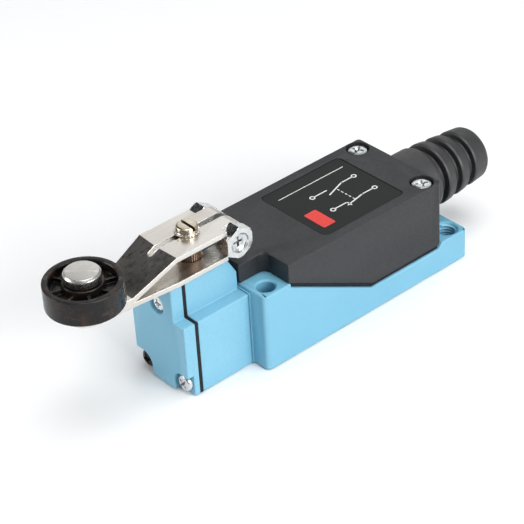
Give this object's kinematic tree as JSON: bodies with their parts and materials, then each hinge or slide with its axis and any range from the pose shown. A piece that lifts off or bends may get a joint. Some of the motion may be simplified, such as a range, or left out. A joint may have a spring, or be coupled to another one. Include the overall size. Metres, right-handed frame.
{
  "type": "roller-lever limit switch",
  "caption": "Sealed limit switch: blue die-cast base and head, black cover, ribbed cable gland, spring-return swinging lever with a roller working an internal snap contact block.",
  "frame": {"origin": "on the back mounting face, at the centre of the rectangle of the four mounting holes", "axes": "+X along the body towards the operating head and roller, +Y towards the side with the plain hole at the head end, +Z out of the back face through the cover"},
  "size_m": [0.1252, 0.028, 0.0394],
  "materials": {
    "blue_casting": "light-blue enamel on a die casting, satin",
    "black_rubber": "moulded nitrile rubber, matt",
    "cover_plastic": "fine-textured black engineering plastic",
    "label": "black film label with a plain contact diagram",
    "zinc_screw": "bright zinc plate",
    "gland_rubber": "moulded black rubber, matt",
    "spring_steel": "oiled spring steel",
    "black_screw": "black oxide",
    "bronze": "sintered bronze",
    "phenolic": "dark moulded phenolic",
    "phenolic_lid": "dark moulded phenolic",
    "contact_brass": "brass strip with silver contact faces",
    "green_screw": "green-dyed zinc plate",
    "shaft_steel": "turned steel, serrated end",
    "sintered_steel": "sintered steel",
    "lever_nickel": "nickel-plated pressed steel",
    "warm_nickel": "nickel plate, slightly yellow",
    "pin_steel": "polished steel",
    "roller_nylon": "black moulded nylon, semi-gloss",
    "button_resin": "cream moulded resin"
  },
  "bodies": {
    "housing": {"base_housing": "blue_casting", "cover_gasket": "black_rubber", "cover": "cover_plastic", "label_plate": "label", "cover_screws": "zinc_screw", "cable_gland": "gland_rubber", "gland_washer": "zinc_screw", "gland_retaining_ring": "spring_steel", "head_housing": "blue_casting", "head_joint_seal": "black_rubber", "head_gasket": "black_rubber", "head_cap": "blue_casting", "cap_screws": "zinc_screw", "head_screws": "black_screw", "head_screw_washers": "black_screw", "shaft_bush": "bronze", "shaft_seal": "black_rubber", "lower_bush": "bronze", "plunger_guide": "bronze", "plunger_seal": "black_rubber", "switch_case": "phenolic", "switch_lid": "phenolic_lid", "switch_screws": "zinc_screw", "nc_contacts": "contact_brass", "no_contacts": "contact_brass", "terminal_washers": "zinc_screw", "terminal_screws": "zinc_screw", "ground_screw": "green_screw", "ground_washer": "zinc_screw"},
    "lever_shaft": {"shaft": "shaft_steel", "cam": "sintered_steel", "cam_pin": "spring_steel", "shaft_circlip": "spring_steel", "lever": "lever_nickel", "lever_lock_washer": "warm_nickel", "lever_screw": "warm_nickel", "clamp_screw": "zinc_screw", "clamp_nut": "zinc_screw", "roller_pin": "pin_steel", "roller_washer": "pin_steel"},
    "roller_body": {"roller": "roller_nylon"},
    "return_piston_body": {"return_piston": "sintered_steel", "return_spring": "spring_steel"},
    "plunger_body": {"plunger": "pin_steel", "plunger_spring": "spring_steel"},
    "button_body": {"switch_button": "button_resin", "button_spring": "spring_steel"},
    "bridge_body": {"contact_bridge": "contact_brass", "contact_spring": "spring_steel"}
  },
  "joints": [
    {"name": "lever_swing", "type": "hinge", "parent": "housing", "child": "lever_shaft", "pos_m": [0.04085, 0, 0.02], "axis": [0, 0, 1], "range_deg": [-95, 95], "stiffness_Nm_per_rad": 0.1},
    {"name": "roller_spin", "type": "hinge", "parent": "lever_shaft", "child": "roller_body", "pos_m": [0.06905, 0, 0.034], "axis": [0, 0, 1], "continuous": true},
    {"name": "return_piston_slide", "type": "slide", "parent": "housing", "child": "return_piston_body", "axis": [1, 0, 0], "range_m": [0, 0.001], "stiffness_N_per_m": 1500, "springref_m": -0.002, "deforming": ["return_spring"]},
    {"name": "plunger_slide", "type": "slide", "parent": "housing", "child": "plunger_body", "axis": [-1, 0, 0], "range_m": [0, 0.0016], "stiffness_N_per_m": 800, "springref_m": -0.002, "deforming": ["plunger_spring"]},
    {"name": "button_slide", "type": "slide", "parent": "housing", "child": "button_body", "axis": [-1, 0, 0], "range_m": [0, 0.0016], "stiffness_N_per_m": 400, "springref_m": -0.002, "deforming": ["button_spring"]},
    {"name": "contact_bridge_slide", "type": "slide", "parent": "housing", "child": "bridge_body", "axis": [-1, 0, 0], "range_m": [0, 0.00096], "stiffness_N_per_m": 200, "springref_m": -0.001, "deforming": ["contact_spring"]}
  ],
  "couplings": [
    {"joint": "button_slide", "follows": "plunger_slide", "ratio": 1},
    {"joint": "contact_bridge_slide", "follows": "plunger_slide", "ratio": 0.6}
  ]
}
